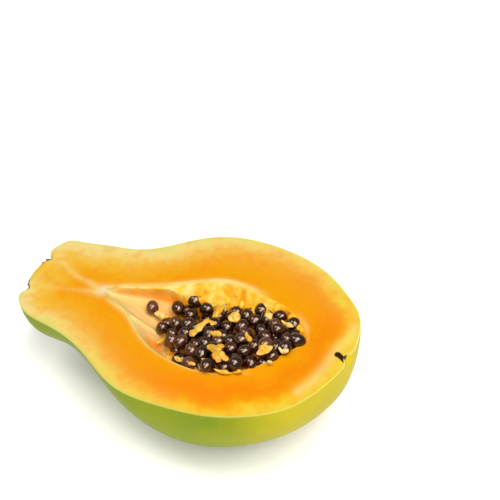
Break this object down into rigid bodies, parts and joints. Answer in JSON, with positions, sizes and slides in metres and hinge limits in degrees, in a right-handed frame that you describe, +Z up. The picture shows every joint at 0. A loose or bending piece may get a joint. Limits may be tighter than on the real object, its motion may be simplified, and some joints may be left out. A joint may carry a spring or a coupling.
{
  "type": "papaya half",
  "caption": "Ripe papaya cut in half lengthwise, lying on its round skin with the cut face up and its cavity full of seeds.",
  "frame": {"origin": "middle of the bounding box's bottom, on the surface that the fruit rests on", "axes": "+X from the stem end to the blossom end, +Z up out of the cut face's side, +Y to the far side"},
  "size_m": [0.1608, 0.106, 0.0641],
  "materials": {
    "flesh": "moist ripe papaya flesh, orange, deeper orange inside and pale yellow at the rim and round the cavity",
    "skin": "smooth waxy skin, lime green with yellower patches, satin",
    "seeds": "wet black-brown seeds in a thin clear jelly skin, glossy",
    "pulp": "scraps of soft golden pulp, moist"
  },
  "bodies": {
    "root": {"papaya_half": "flesh", "seed_heap": "seeds"}
  },
  "joints": []
}
